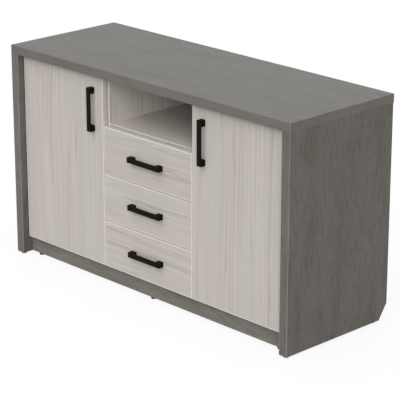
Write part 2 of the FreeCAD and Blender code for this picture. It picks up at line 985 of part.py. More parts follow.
def make_condenser():
    """Serpentine tube on two upright straps behind the case."""
    piece = Piece(
        "fridge_condenser", "fridge_left + fridge_width / 2", "case_rear", "fridge_base + tube_base"
    )
    straps = [
        rectangle(
            f"{sign} * strap_distance / 2 - strap_width / 2",
            "0",
            f"{sign} * strap_distance / 2 + strap_width / 2",
            f"{CONDENSER_RUNS} * tube_pitch",
        )
        for sign in (-1, 1)
    ]
    piece.pad("XZ", straps, "tube_stand")
    run = [("tube_stand", "tube_pitch / 2", "tube_radius")]
    piece.pad("YZ", run, "tube_run", "-tube_run / 2").repeat("V_Axis", "tube_pitch", CONDENSER_RUNS)
    for x, level in (("tube_run / 2", "tube_pitch / 2"), ("-tube_run / 2", "3 * tube_pitch / 2")):
        bend = [(x, "tube_stand", "bend_radius")]
        piece.pad("XY", bend, "tube_pitch + 2 * bend_radius", f"{level} - bend_radius")
        piece.repeat("N_Axis", "2 * tube_pitch", CONDENSER_RUNS // 2)
    piece.node()


def make_fridge_door():
    shell = slab(
        "fridge_door_shell",
        "fridge_left",
        "fridge_door_front",
        "fridge_base + fridge_door_trim",
        "fridge_width",
        "fridge_door_thickness",
        "fridge_door_height",
    )
    middle = number("fridge_door_thickness / 2")
    shell.round("fridge_door_corner", lambda edge: edge.CenterOfMass.y < middle)
    bore = [("fridge_width - fridge_pivot_edge", "fridge_pivot_face", "fridge_pin_radius + pivot_play")]
    shell.cut("XY", bore, "fridge_pin_length")
    shell.cut("XY", bore, "fridge_pin_length", "fridge_door_height - fridge_pin_length").node()

    ring = [
        rectangle("0", "0", "fridge_width - 2 * gasket_margin", "fridge_door_height - 2 * gasket_margin"),
        rectangle(
            "gasket_width",
            "gasket_width",
            "fridge_width - 2 * gasket_margin - gasket_width",
            "fridge_door_height - 2 * gasket_margin - gasket_width",
        ),
    ]
    gasket = Piece(
        "fridge_gasket",
        "fridge_left + gasket_margin",
        "fridge_door_rear",
        "fridge_base + fridge_door_trim + gasket_margin",
    )
    gasket.pad("XZ", ring, "gasket_depth - seal_gap").node()

    inner = slab(
        "fridge_door_liner",
        "room_left + dyke_clearance",
        "fridge_door_rear",
        "room_base + dyke_clearance",
        "dyke_box_width",
        "door_sheet",
        "dyke_box_height",
    )
    dykes = [
        rectangle("0", "0", "dyke_width", "dyke_box_height"),
        rectangle("dyke_box_width - dyke_width", "0", "dyke_box_width", "dyke_box_height"),
    ]
    inner.pad("XZ", dykes, "dyke_depth")
    for level in ("lower_bin", "upper_bin"):
        trough = [
            ("0", level),
            ("dyke_depth", level),
            ("dyke_depth", f"{level} + bin_height"),
            ("dyke_depth - door_sheet", f"{level} + bin_height"),
            ("dyke_depth - door_sheet", f"{level} + door_sheet"),
            ("0", f"{level} + door_sheet"),
        ]
        inner.pad("YZ", [trough], "dyke_box_width - dyke_width", "dyke_width / 2")
    inner.node()


def make_fridge_hinges():
    """Plates on the case, top and bottom, each with a pin that the fridge door turns on."""
    strip = rectangle(
        "0", "0", "hinge_plate_width", "hinge_plate_reach + fridge_pivot_edge + case_front - fridge_axis_y"
    )
    pin = [("hinge_plate_width - fridge_pivot_edge", "fridge_pivot_edge", "fridge_pin_radius")]
    reach = "fridge_pin_length - groove_play"
    plates = []
    for name, low, start in (
        ("bottom", "fridge_base - hinge_plate", "0"),
        ("top", "fridge_top", f"-({reach})"),
    ):
        plate = Piece(
            f"fridge_{name}_hinge",
            "fridge_right - hinge_plate_width",
            "fridge_axis_y - fridge_pivot_edge",
            low,
        )
        plate.pad("XY", [strip], "hinge_plate").pad("XY", pin, f"{reach} + hinge_plate", start)
        plates.append(plate)
    group("fridge_hinges", plates)


# Link that makes the fridge door follow the right door


def make_door_link():
    """Bar between pins on the two doors, as long and as slanted as the line between their axes."""
    slant = Rotation(Vector(0, 0, 1), number("link_turn"))
    bar = Piece("door_link", "link_x", "link_y", "link_base", slant)
    bar.body.setExpression("Placement.Rotation.Angle", formula("link_turn"))
    outline = rectangle(
        "-link_half_width", "-link_half_width", "link_half_width", "link_span + link_half_width"
    )
    bar.pad("XY", [outline], "link_thickness")
    bar.round("link_end_radius", runs_along(Vector(0, 0, 1)))
    holes = [("0", y, "link_pin_radius + pivot_play") for y in ("0", "link_span")]
    bar.cut("XY", holes, "link_thickness").node()

    bracket = Piece("link_bracket", "link_x", "door_back", "link_top + link_gap")
    angle = [
        ("0", "bracket_sheet"),
        ("0", "-bracket_drop"),
        ("bracket_sheet", "-bracket_drop"),
        ("bracket_sheet", "0"),
        ("bracket_tongue", "0"),
        ("bracket_tongue", "bracket_sheet"),
    ]
    bracket.pad("YZ", [angle], "2 * bracket_half", "-bracket_half")
    pin_low = "-(link_gap + link_thickness)"
    pin = [("0", "link_stand", "link_pin_radius")]
    bracket.pad("XY", pin, "link_gap + link_thickness + bracket_sheet", pin_low).node()

    plate = Piece(
        "link_pin_plate",
        "link_x - axis_shift",
        "link_y + axis_rise",
        "fridge_top - fridge_door_trim",
    )
    half_depth = "(fridge_door_rear - link_y - axis_rise)"
    base = rectangle("-pin_plate_half", f"-{half_depth}", "pin_plate_half", half_depth)
    plate.pad("XY", [base], "pin_plate")
    plate.pad("XY", [("0", "0", "link_pin_radius")], "pin_plate + link_gap + link_thickness").node()


make_top_panel()
for hand in ("left", "right"):
    make_end_panel(hand)
    make_divider(hand)
make_bottom_panel()
make_plinth()
make_glides()
make_niche_shelf()
make_back_panels()
make_left_shelves()
for hand in ("left", "right"):
    make_door(hand)
fixed_slides = []
for drawer_number in DRAWERS:
    fixed_slides.extend(make_drawer(drawer_number))
group("slide_outer_members", fixed_slides)
make_fridge_case()
make_fridge_feet()
make_fridge_shelves()
make_ice_compartment()
make_thermostat()
make_condenser()
make_fridge_door()
make_fridge_hinges()
make_door_link()
doc.recompute()

for item in doc.Objects:
    if "Invalid" in item.State or "Error" in item.State:
        raise RuntimeError(f"{item.Label} failed to build: {item.State}")
for item in nodes:
    if item.Shape.isNull() or not item.Shape.isValid():
        raise RuntimeError(f"{item.Label} has no valid shape")

os.makedirs("parts", exist_ok=True)
for item in nodes:
    item.Shape.exportStep(f"parts/{item.Label}.step")
print(f"{len(nodes)} sub-parts written")
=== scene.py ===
import math

import bmesh
import bpy
from mathutils import Matrix, Vector


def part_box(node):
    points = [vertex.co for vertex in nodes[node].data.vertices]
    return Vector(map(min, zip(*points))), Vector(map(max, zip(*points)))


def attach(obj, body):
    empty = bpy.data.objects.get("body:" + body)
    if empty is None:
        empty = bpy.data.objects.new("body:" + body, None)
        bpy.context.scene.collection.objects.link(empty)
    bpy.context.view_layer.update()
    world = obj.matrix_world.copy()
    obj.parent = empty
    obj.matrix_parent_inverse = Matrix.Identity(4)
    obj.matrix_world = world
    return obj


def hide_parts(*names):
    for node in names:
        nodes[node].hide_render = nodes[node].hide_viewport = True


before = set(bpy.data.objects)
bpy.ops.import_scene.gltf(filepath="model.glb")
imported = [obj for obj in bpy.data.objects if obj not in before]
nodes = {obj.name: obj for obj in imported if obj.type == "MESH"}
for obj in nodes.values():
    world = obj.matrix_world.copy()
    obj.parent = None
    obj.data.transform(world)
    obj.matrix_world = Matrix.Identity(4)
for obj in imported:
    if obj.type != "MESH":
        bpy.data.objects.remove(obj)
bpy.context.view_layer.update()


# Outer boards: top, two thick ends, plinth and rear rail of chipboard faced with grey wood laminate.
# The sheet is printed and embossed, and every board is cut with the grain along its length.
# Edges are closed with a thin band of the same grey; the tints of faces and boards are painted light and
# shade, and a painted highlight draws a fine pale line along the upright corners.

def add_node(tree, kind, **inputs):
    """Place a shader node and set or link its inputs, written with underscores for spaces."""
    made = tree.nodes.new(kind)
    for name, value in inputs.items():
        socket = made.inputs[int(name[1:]) if name[1:].isdigit() else name.replace("_", " ")]
        if isinstance(value, bpy.types.NodeSocket):
            tree.links.new(value, socket)
        else:
            socket.default_value = value
    return made


def linear(hex_colour):
    """Linear colour of a printed shade given as six hexadecimal digits."""
    colour = []
    for place in (0, 2, 4):
        shade = int(hex_colour[place:place + 2], 16) / 255
        colour.append(shade / 12.92 if shade <= 0.04045 else ((shade + 0.055) / 1.055) ** 2.4)
    return [*colour, 1]


def add_ramp(tree, fac, stops):
    """Colour ramp through the given places and printed shades."""
    ramp = add_node(tree, "ShaderNodeValToRGB", Fac=fac)
    band = ramp.color_ramp
    for element, (place, shade) in zip(band.elements, (stops[0], stops[-1])):
        element.position = place
        element.color = linear(shade)
    for place, shade in stops[1:-1]:
        band.elements.new(place).color = linear(shade)
    return ramp.outputs["Color"]


def add_math(tree, operation, first, second):
    """Result of one sum on two values or sockets."""
    made = add_node(tree, "ShaderNodeMath", _0=first, _1=second)
    made.operation = operation
    return made.outputs[0]


def new_finish(name, roughness, **values):
    """Material with one principled shader and its own object coordinates."""
    material = bpy.data.materials.new(name)
    material.use_nodes = True
    tree = material.node_tree
    tree.nodes.clear()
    shader = add_node(tree, "ShaderNodeBsdfPrincipled", Roughness=roughness, **values)
    output = add_node(tree, "ShaderNodeOutputMaterial")
    tree.links.new(shader.outputs[0], output.inputs["Surface"])
    place = tree.nodes.new("ShaderNodeTexCoord").outputs["Object"]
    return material, tree, shader, place


def add_bump(tree, shader, height, strength, distance):
    """Relief of a shader's surface from a height."""
    bump = add_node(tree, "ShaderNodeBump", Strength=strength, Distance=distance, Height=height)
    tree.links.new(bump.outputs["Normal"], shader.inputs["Normal"])


SWAY_SCALE = 3.2
FIGURE_ROUGHNESS = 0.62


def make_grain_group():
    """Wood figure that runs along Z: broad tone, clouds, flecks, streaks, fine pores and long lines."""
    group = bpy.data.node_groups.new("wood_figure", "ShaderNodeTree")
    for name in ("Broad", "Cloud", "Fleck", "Streak", "Pore", "Line"):
        group.interface.new_socket(name, in_out="OUTPUT", socket_type="NodeSocketFloat")
    group.interface.new_socket("Vector", in_out="INPUT", socket_type="NodeSocketVector")
    group.interface.new_socket("Wave", in_out="INPUT", socket_type="NodeSocketFloat")
    inlet = group.nodes.new("NodeGroupInput").outputs
    outlet = group.nodes.new("NodeGroupOutput")
    sway = add_node(group, "ShaderNodeTexNoise", Vector=inlet["Vector"], Scale=SWAY_SCALE, Detail=1.0)
    centred = add_node(group, "ShaderNodeVectorMath", _0=sway.outputs["Color"], _1=(0.5, 0.5, 0.5))
    centred.operation = "SUBTRACT"
    scaled = add_node(group, "ShaderNodeVectorMath", _0=centred.outputs[0], _3=inlet["Wave"])
    scaled.operation = "SCALE"
    swayed = add_node(group, "ShaderNodeVectorMath", _0=inlet["Vector"], _1=scaled.outputs[0])
    for name, across, along, detail in (
        ("Broad", 38, 0.5, 2),
        ("Cloud", 15, 4, 3),
        ("Fleck", 130, 20, 3),
        ("Streak", 170, 1.2, 3),
        ("Pore", 420, 14, 3),
        ("Line", 26, 0.3, 1),
    ):
        size = (across, across, along)
        stretch = add_node(group, "ShaderNodeMapping", Vector=swayed.outputs[0], Scale=size)
        noise = add_node(
            group, "ShaderNodeTexNoise", Vector=stretch.outputs[0], Scale=1.0, Detail=detail,
            Roughness=FIGURE_ROUGHNESS,
        )
        group.links.new(noise.outputs["Fac"], outlet.inputs[name])
    return group


SIDE_REACH = 0.25
FACE_DEPTH = 0.0005


def make_edge_group():
    """Masks of a board's arrises, of the upright ones alone, its front and its upper face, from its box."""
    group = bpy.data.node_groups.new("board_edges", "ShaderNodeTree")
    for name in ("Arris", "Corner", "Front", "Upper"):
        group.interface.new_socket(name, in_out="OUTPUT", socket_type="NodeSocketFloat")
    for name in ("Vector", "Low", "High"):
        group.interface.new_socket(name, in_out="INPUT", socket_type="NodeSocketVector")
    group.interface.new_socket("Width", in_out="INPUT", socket_type="NodeSocketFloat")
    inlet = group.nodes.new("NodeGroupInput").outputs
    above = add_node(group, "ShaderNodeVectorMath", _0=inlet["Vector"], _1=inlet["Low"])
    above.operation = "SUBTRACT"
    below = add_node(group, "ShaderNodeVectorMath", _0=inlet["High"], _1=inlet["Vector"])
    below.operation = "SUBTRACT"
    nearest = add_node(group, "ShaderNodeVectorMath", _0=above.outputs[0], _1=below.outputs[0])
    nearest.operation = "MINIMUM"
    apart = add_node(group, "ShaderNodeSeparateXYZ", Vector=nearest.outputs[0])
    shallow = add_math(group, "MULTIPLY", inlet["Width"], SIDE_REACH)
    near = []
    for axis, reach in enumerate((inlet["Width"], shallow, inlet["Width"])):
        fade = add_node(
            group, "ShaderNodeMapRange", Value=apart.outputs[axis], From_Min=0.0, From_Max=reach,
            To_Min=1.0, To_Max=0.0,
        )
        fade.interpolation_type = "SMOOTHSTEP"
        near.append(fade.outputs[0])
    pairs = [add_math(group, "MULTIPLY", near[axis], near[axis - 1]) for axis in range(3)]
    widest = add_math(group, "MAXIMUM", add_math(group, "MAXIMUM", pairs[0], pairs[1]), pairs[2])
    depth = add_node(group, "ShaderNodeSeparateXYZ", Vector=above.outputs[0])
    drop = add_node(group, "ShaderNodeSeparateXYZ", Vector=below.outputs[0])
    outlet = group.nodes.new("NodeGroupOutput")
    group.links.new(widest, outlet.inputs["Arris"])
    group.links.new(pairs[1], outlet.inputs["Corner"])
    group.links.new(add_math(group, "LESS_THAN", depth.outputs["Y"], FACE_DEPTH), outlet.inputs["Front"])
    group.links.new(add_math(group, "LESS_THAN", drop.outputs["Z"], FACE_DEPTH), outlet.inputs["Upper"])
    return group


wood_figure = make_grain_group()
board_edges = make_edge_group()
ALONG_X = (0, math.radians(90), 0)
ALONG_Z = (0, 0, 0)
SHIFT_WAY = Vector((1, 0.37, 2.3))


def add_figure(tree, place, along, shift, wave):
    """The wood figure turned along a board and moved so that no two boards are alike."""
    turned = add_node(tree, "ShaderNodeMapping", Vector=place, Rotation=along)
    moved = add_node(tree, "ShaderNodeVectorMath", _0=turned.outputs[0], _1=shift * SHIFT_WAY)
    figure = tree.nodes.new("ShaderNodeGroup")
    figure.node_tree = wood_figure
    tree.links.new(moved.outputs[0], figure.inputs["Vector"])
    figure.inputs["Wave"].default_value = wave
    return figure.outputs


def add_arris(tree, place, board, width):
    """Masks of a board's edges and faces, which place its painted highlights and painted face tints."""
    edges = tree.nodes.new("ShaderNodeGroup")
    edges.node_tree = board_edges
    tree.links.new(place, edges.inputs["Vector"])
    edges.inputs["Low"].default_value, edges.inputs["High"].default_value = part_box(board)
    edges.inputs["Width"].default_value = width
    return edges.outputs


def add_mix(tree, how, share, first, second):
    """Blend of two colours or sockets."""
    made = add_node(tree, "ShaderNodeMix", _0=share, _6=first, _7=second)
    made.data_type = "RGBA"
    made.blend_type = how
    return made.outputs[2]


GREY_WAVE = 0.012
# Width, strength and pale colour of the painted highlight along the upright corners.
CORNER_LINE = 0.0035
CORNER_HIGHLIGHT_STRENGTH = 0.65
CORNER_HIGHLIGHT = "ABA9A5"


def grey_laminate(board, along, shift, depth, face, tint, rest):
    """Grey print of one board, with a painted light tint on its main face, another on the rest, and a
    painted highlight on its upright corners.
    """
    material, tree, shader, place = new_finish(f"grey_{board}", roughness=0.62, Specular_IOR_Level=0.1)
    figure = add_figure(tree, place, along, shift, GREY_WAVE)
    fleck = add_ramp(tree, figure["Fleck"], ((0.32, "E0DFDE"), (0.48, "F7F7F6"), (0.66, "FFFFFF")))
    cloud = add_ramp(tree, figure["Cloud"], ((0.36, "EAE8E4"), (0.5, "F7F7F6"), (0.64, "FCFDFF")))
    edges = add_arris(tree, place, board, CORNER_LINE)
    # Painted light and shade: the main face and the rest of the board get tints set for how light falls on
    # them.
    face_painted_light = add_mix(tree, "MIX", edges[face], linear(rest), linear(tint))
    flecked = add_mix(tree, "MULTIPLY", depth, face_painted_light, fleck)
    toned = add_mix(tree, "MULTIPLY", depth, flecked, cloud)
    # Painted highlight: a fine pale line on the upright corners, where a rounded edge would catch the
    # light.
    corner_highlight = add_math(tree, "MULTIPLY", edges["Corner"], CORNER_HIGHLIGHT_STRENGTH)
    highlighted = add_mix(tree, "MIX", corner_highlight, toned, linear(CORNER_HIGHLIGHT))
    tree.links.new(highlighted, shader.inputs["Base Color"])
    add_bump(tree, shader, figure["Pore"], strength=0.25, distance=0.0004)
    return material


def give(material, *names):
    """Put a finish on CAD nodes."""
    for name in names:
        nodes[name].data.materials.clear()
        nodes[name].data.materials.append(material)


# Painted light in the tints: the top's upper face is painted darker and cooler than its paler front band,
# the left end is painted darker as shade in the recess beside the left door with its front painted lighter,
# and the plinth is painted lighter against the shade it stands in.
for board, along, shift, depth, face, tint, rest in (
    ("top_panel", ALONG_X, 0.0, 0.6, "Upper", "6F6D6A", "7B7772"),
    ("left_end_panel", ALONG_Z, 3.1, 1.0, "Front", "7C7874", "716D69"),
    ("right_end_panel", ALONG_Z, 5.7, 1.0, "Front", "78746F", "78746F"),
    ("plinth_board", ALONG_X, 8.3, 1.0, "Front", "88847E", "88847E"),
    ("rear_rail", ALONG_X, 11.9, 1.0, "Front", "7B7976", "7B7976"),
):
    give(grey_laminate(board, along, shift, depth, face, tint, rest), board)


# Glides, fridge feet and door bushes: round mouldings of black plastic, nailed, screwed or pressed in.
# Their skin is matt, with the fine grain of a spark-eroded mould.

MOTTLE_GAIN = 1.18


def moulded(name, shade, roughness, grain, **values):
    """Plastic, rubber or coat with a slight mottle and a fine grain of the given scale."""
    material, tree, shader, place = new_finish(name, roughness, **values)
    mottle = add_node(tree, "ShaderNodeTexNoise", Vector=place, Scale=60.0, Detail=3.0)
    pale = [min(1.0, MOTTLE_GAIN * part) for part in linear(shade)[:3]] + [1]
    toned = add_mix(tree, "MIX", mottle.outputs["Fac"], linear(shade), pale)
    tree.links.new(toned, shader.inputs["Base Color"])
    speck = add_node(tree, "ShaderNodeTexNoise", Vector=place, Scale=grain, Detail=2.0)
    add_bump(tree, shader, speck.outputs["Fac"], strength=0.2, distance=0.0003)
    return material


black_plastic = moulded(
    "black_moulded_plastic", "0E0E0E", roughness=0.55, grain=1800.0, Specular_IOR_Level=0.2
)
give(black_plastic, "glides", "fridge_feet", "left_door_bushes", "right_door_bushes")


# Inner boards and fronts: chipboard faced with pale ash laminate, fine streaks along the grain.
# Doors, dividers and backs have it upright; shelves, floor and drawer fronts have it level.
# On the level boards the figure sways a little, as on quarter-cut veneer.

# Pale colour of the painted highlight along the ash boards' arrises.
ARRIS_HIGHLIGHT = "EFEBE5"


def ash_laminate(board, along, shift, wave, highlight_width, shade):
    """Ash print of one board, with a painted highlight along its arrises and a painted shade over its
    front.
    """
    material, tree, shader, place = new_finish(f"ash_{board}", roughness=0.55, Specular_IOR_Level=0.2)
    figure = add_figure(tree, place, along, shift, wave)
    streak = add_ramp(
        tree, figure["Streak"], ((0.32, "C5BEB7"), (0.45, "CCC6BF"), (0.56, "CFCAC3"), (0.68, "D4CFC9"))
    )
    warm = add_ramp(tree, figure["Broad"], ((0.36, "FFFCFA"), (0.5, "FFFFFF"), (0.62, "FBFCFA")))
    toned = add_mix(tree, "MULTIPLY", 1.0, streak, warm)
    from_middle = add_math(tree, "SUBTRACT", figure["Line"], 0.5)
    thin = add_math(tree, "ABSOLUTE", from_middle, 0.0)
    line = add_ramp(tree, thin, ((0.0, "EAE5DF"), (0.006, "F5F2EF"), (0.014, "FFFFFF")))
    lined = add_mix(tree, "MULTIPLY", 1.0, toned, line)
    edges = add_arris(tree, place, board, highlight_width)
    # Painted shade over the front face.
    face_painted_light = add_mix(tree, "MULTIPLY", edges["Front"], lined, linear(shade))
    # Painted highlight: a pale strip along every arris, where a rounded edge band would catch the light.
    highlighted = add_mix(tree, "MIX", edges["Arris"], face_painted_light, linear(ARRIS_HIGHLIGHT))
    tree.links.new(highlighted, shader.inputs["Base Color"])
    add_bump(tree, shader, figure["Pore"], strength=0.2, distance=0.0003)
    return material


# The fifth column is the width of the painted highlight along the arrises. The last is a painted shade over
# the front face: faint on the doors and drawers, a little deeper on the top drawer, and deeper and a little
# cool on the front edges of the dividers and the niche shelf, which sit back in shadow.
for board, along, shift, wave, highlight_width, shade in (
    ("left_door", ALONG_Z, 1.3, 0.008, 0.005, "F9F8F9"),
    ("right_door", ALONG_Z, 2.9, 0.008, 0.005, "F9F8F9"),
    ("drawer_1_front", ALONG_X, 4.4, 0.022, 0.005, "F6F5F5"),
    ("drawer_2_front", ALONG_X, 6.2, 0.022, 0.005, "F9F8F9"),
    ("drawer_3_front", ALONG_X, 7.8, 0.022, 0.005, "F9F8F9"),
    ("left_divider", ALONG_Z, 9.1, 0.008, 0.005, "E8E7E9"),
    ("right_divider", ALONG_Z, 10.4, 0.008, 0.005, "E8E7E9"),
    ("bottom_panel", ALONG_X, 12.2, 0.02, 0.003, "FFFFFF"),
    ("niche_shelf", ALONG_X, 13.7, 0.02, 0.003, "DDDBDD"),
    ("left_shelves", ALONG_X, 15.2, 0.02, 0.003, "FFFFFF"),
    ("back_panel_left", ALONG_Z, 16.6, 0.008, 0.002, "FFFFFF"),
    ("back_panel_centre", ALONG_Z, 18.1, 0.008, 0.002, "FFFFFF"),
    ("back_panel_right", ALONG_Z, 19.5, 0.008, 0.002, "FFFFFF"),
):
    give(ash_laminate(board, along, shift, wave, highlight_width, shade), board)


# Shelf pins, pivot plates, slides, link and hinge plates: steel with a bright zinc coat.
# The metal is drawn or rolled, so faint lines run along it and the coat clouds a little.

def zinc_steel():
    """Bright zinc coat, a little cloudy, with fine drawn lines."""
    material, tree, shader, place = new_finish("zinc_plated_steel", roughness=0.35, Metallic=1.0)
    cloud = add_node(tree, "ShaderNodeTexNoise", Vector=place, Scale=14.0, Detail=2.0)
    colour = add_ramp(tree, cloud.outputs["Fac"], ((0.35, "B7B9BB"), (0.65, "C4C5C6")))
    tree.links.new(colour, shader.inputs["Base Color"])
    drawn_place = add_node(tree, "ShaderNodeMapping", Vector=place, Scale=(900, 12, 900))
    drawn = add_node(tree, "ShaderNodeTexNoise", Vector=drawn_place.outputs[0], Scale=1.0, Detail=2.0)
    spread = add_node(tree, "ShaderNodeMapRange", Value=drawn.outputs["Fac"], To_Min=0.34, To_Max=0.46)
    tree.links.new(spread.outputs[0], shader.inputs["Roughness"])
    add_bump(tree, shader, drawn.outputs["Fac"], strength=0.1, distance=0.0001)
    return material


steel = zinc_steel()
give(steel, "shelf_pins", "left_pivot_plates", "right_pivot_plates", "slide_outer_members")
give(steel, "door_link", "link_bracket", "link_pin_plate", "fridge_hinges")
for drawer in (1, 2, 3):
    give(steel, f"drawer_{drawer}_slide_inner", f"drawer_{drawer}_slide_middle")


# Drawer boxes: thin boards wrapped in white melamine, with the bottom let into grooves.
# The melamine has a faint pearl texture and picks up a slight warm tone.

def white_melamine():
    """White foil with a faint pearl."""
    material, tree, shader, place = new_finish("white_melamine", roughness=0.5)
    pearl = add_node(tree, "ShaderNodeTexNoise", Vector=place, Scale=240.0, Detail=3.0)
    colour = add_ramp(tree, pearl.outputs["Fac"], ((0.35, "D9D7D2"), (0.65, "E3E2DE")))
    tree.links.new(colour, shader.inputs["Base Color"])
    add_bump(tree, shader, pearl.outputs["Fac"], strength=0.15, distance=0.0003)
    return material


melamine = white_melamine()
for drawer in (1, 2, 3):
    give(melamine, f"drawer_{drawer}_sides", f"drawer_{drawer}_back", f"drawer_{drawer}_bottom")


# Handles: flat die-cast strips on two block feet, matt black powder coat with a fine orange peel.
# Each is held by two screws from behind, whose zinc heads sit on the rear of the front.

def powder_coat():
    """Matt black coat with a fine orange peel."""
    material, tree, shader, place = new_finish(
        "black_powder_coat", roughness=0.62, Specular_IOR_Level=0.065
    )
    peel = add_node(tree, "ShaderNodeTexNoise", Vector=place, Scale=900.0, Detail=2.0)
    colour = add_ramp(tree, peel.outputs["Fac"], ((0.3, "0F0B06"), (0.7, "15110A")))
    tree.links.new(colour, shader.inputs["Base Color"])
    add_bump(tree, shader, peel.outputs["Fac"], strength=0.25, distance=0.0003)
    return material


def finish_piece(mesh, name, body, material):
    """Turn a bmesh into an object that rides on a body."""
    bmesh.ops.recalc_face_normals(mesh, faces=mesh.faces)
    data = bpy.data.meshes.new(name)
    mesh.to_mesh(data)
    mesh.free()
    data.materials.append(material)
    piece = bpy.data.objects.new(name, data)
    bpy.context.scene.collection.objects.link(piece)
    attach(piece, body)
    return piece


HEAD_SIDES = 24
SOCKET_SHARE = 0.5
RIM_SHARE = 0.45


def add_screw_head(mesh, seat, outward, radius, height):
    """Round head with a softened rim and a sunk socket, standing on its seat."""
    turn = Vector((0, 0, 1)).rotation_difference(outward).to_matrix().to_4x4()
    stand = Matrix.Translation(seat) @ turn @ Matrix.Translation((0, 0, height / 2))
    head = bmesh.ops.create_cone(
        mesh, cap_ends=True, segments=HEAD_SIDES, radius1=radius, radius2=radius, depth=height, matrix=stand
    )
    faces = {face for vert in head["verts"] for face in vert.link_faces}
    cap = max(faces, key=lambda face: (face.calc_center_median() - seat).dot(outward))
    rim = list(cap.edges)
    bmesh.ops.inset_individual(mesh, faces=[cap], thickness=SOCKET_SHARE * radius)
    bmesh.ops.translate(mesh, verts=cap.verts, vec=-SOCKET_SHARE * height * outward)
    bmesh.ops.bevel(
        mesh, geom=rim, offset=RIM_SHARE * height, affect="EDGES", segments=3, profile=0.5, material=-1
    )


HANDLE_FOOT = 0.0215
HANDLE_SCREW = {"radius": 0.0042, "height": 0.0022}
TO_REAR = Vector((0, 1, 0))
black_coat = powder_coat()
for body in ("drawer_1", "drawer_2", "drawer_3", "left_door", "right_door"):
    give(black_coat, f"{body}_handle")
    low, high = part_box(f"{body}_handle")
    seat_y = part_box(body if "door" in body else f"{body}_front")[1].y
    long_axis = 2 if "door" in body else 0
    screws = bmesh.new()
    for end in (low[long_axis] + HANDLE_FOOT / 2, high[long_axis] - HANDLE_FOOT / 2):
        seat = (low + high) / 2
        seat[long_axis] = end
        seat.y = seat_y
        add_screw_head(screws, seat, TO_REAR, **HANDLE_SCREW)
    finish_piece(screws, f"{body}_handle_screws", body, steel)


# Pivot plate screws: countersunk steel screws that hold the door pivots under the top and the floor.
# Two sit in each plate behind the plinth line, heads almost flush with the plate.

PLATE_SCREW = {"radius": 0.0036, "height": 0.0009}
PLATE_SCREW_Y = (-0.168, -0.145)
PLATE_SHEET = 0.002
DOWN = Vector((0, 0, -1))
plate_screws = bmesh.new()
for side in ("left", "right"):
    low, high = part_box(f"{side}_pivot_plates")
    for seat_z in (low.z, high.z - PLATE_SHEET):
        for screw_y in PLATE_SCREW_Y:
            seat = Vector(((low.x + high.x) / 2, screw_y, seat_z))
            add_screw_head(plate_screws, seat, DOWN, **PLATE_SCREW)
finish_piece(plate_screws, "pivot_plate_screws", "carcass", steel)


# Slide screws: pan-head steel screws that fix each slide's inner member to the drawer side.
# Three sit in the channel of every member, behind the path of the middle member.

SLIDE_SCREW = {"radius": 0.0035, "height": 0.0016}
SLIDE_METAL = 0.0012
SLIDE_SCREW_SHARES = (0.1, 0.42, 0.86)
for drawer in (1, 2, 3):
    low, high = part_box(f"drawer_{drawer}_slide_inner")
    web_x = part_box(f"drawer_{drawer}_sides")[1].x + SLIDE_METAL
    slide_screws = bmesh.new()
    for side in (-1, 1):
        for share in SLIDE_SCREW_SHARES:
            seat = Vector((side * web_x, low.y + share * (high.y - low.y), (low.z + high.z) / 2))
            add_screw_head(slide_screws, seat, Vector((side, 0, 0)), **SLIDE_SCREW)
    finish_piece(slide_screws, f"drawer_{drawer}_slide_screws", f"drawer_{drawer}", steel)


# Cam fasteners: die-cast zinc discs let into the upright boards, which draw the top down onto them.
# Each is turned with a driver through its socket and ends almost flush with the board's face.

CAM_DISC = {"radius": 0.0075, "height": 0.0008}
CAM_DROP = 0.034
CAM_INSET = 0.09
TO_RIGHT = Vector((1, 0, 0))
cam_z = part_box("top_panel")[0].z - CAM_DROP
divider_low, divider_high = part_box("left_divider")
cams = bmesh.new()
for board, outward in (
    ("left_end_panel", TO_RIGHT),
    ("left_divider", -TO_RIGHT),
    ("right_divider", TO_RIGHT),
    ("right_end_panel", -TO_RIGHT),
):
    low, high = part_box(board)
    face_x = high.x if outward.x > 0 else low.x
    for cam_y in (divider_low.y + CAM_INSET, divider_high.y - CAM_INSET):
        add_screw_head(cams, Vector((face_x, cam_y, cam_z)), outward, **CAM_DISC)
finish_piece(cams, "cam_fasteners", "carcass", steel)


# Fridge case and door shell: steel sheet over foam with a dark grey textured coat.
# The coat has a fine even pebble that breaks up reflections.

fridge_coat = moulded("dark_textured_coat", "3A3B3C", roughness=0.42, grain=700.0)
give(fridge_coat, "fridge_case", "fridge_door_shell")


# Fridge liner, door liner and thermostat: white plastic sheet formed over a mould, smooth and glossy.
# The thermostat housing is a clipped box with a turning knob, dots round it growing with the cold.

liner_plastic = moulded("white_formed_plastic", "DEE1E1", roughness=0.28, grain=260.0)
knob_plastic = moulded("pale_grey_knob", "C9CCCD", roughness=0.35, grain=500.0)
give(liner_plastic, "fridge_liner", "fridge_door_liner", "thermostat_housing")
give(knob_plastic, "thermostat_knob")
DIAL_DOTS = 7
DIAL_SWEEP = math.radians(270)
DIAL_RING = 0.0195
DOT_RADIUS = 0.0006
DOT_GROWTH = 0.0007
knob_low, knob_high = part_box("thermostat_knob")
dial_middle = (knob_low + knob_high) / 2
dial_middle.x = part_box("thermostat_housing")[0].x
dots = bmesh.new()
for dot in range(DIAL_DOTS):
    share = dot / (DIAL_DOTS - 1)
    angle = (share - 0.5) * DIAL_SWEEP
    spot = dial_middle + DIAL_RING * Vector((0, -math.sin(angle), math.cos(angle)))
    radius = DOT_RADIUS + DOT_GROWTH * share
    bmesh.ops.create_uvsphere(
        dots, u_segments=12, v_segments=8, radius=radius, matrix=Matrix.Translation(spot)
    )
finish_piece(dots, "thermostat_dots", "carcass", black_plastic)


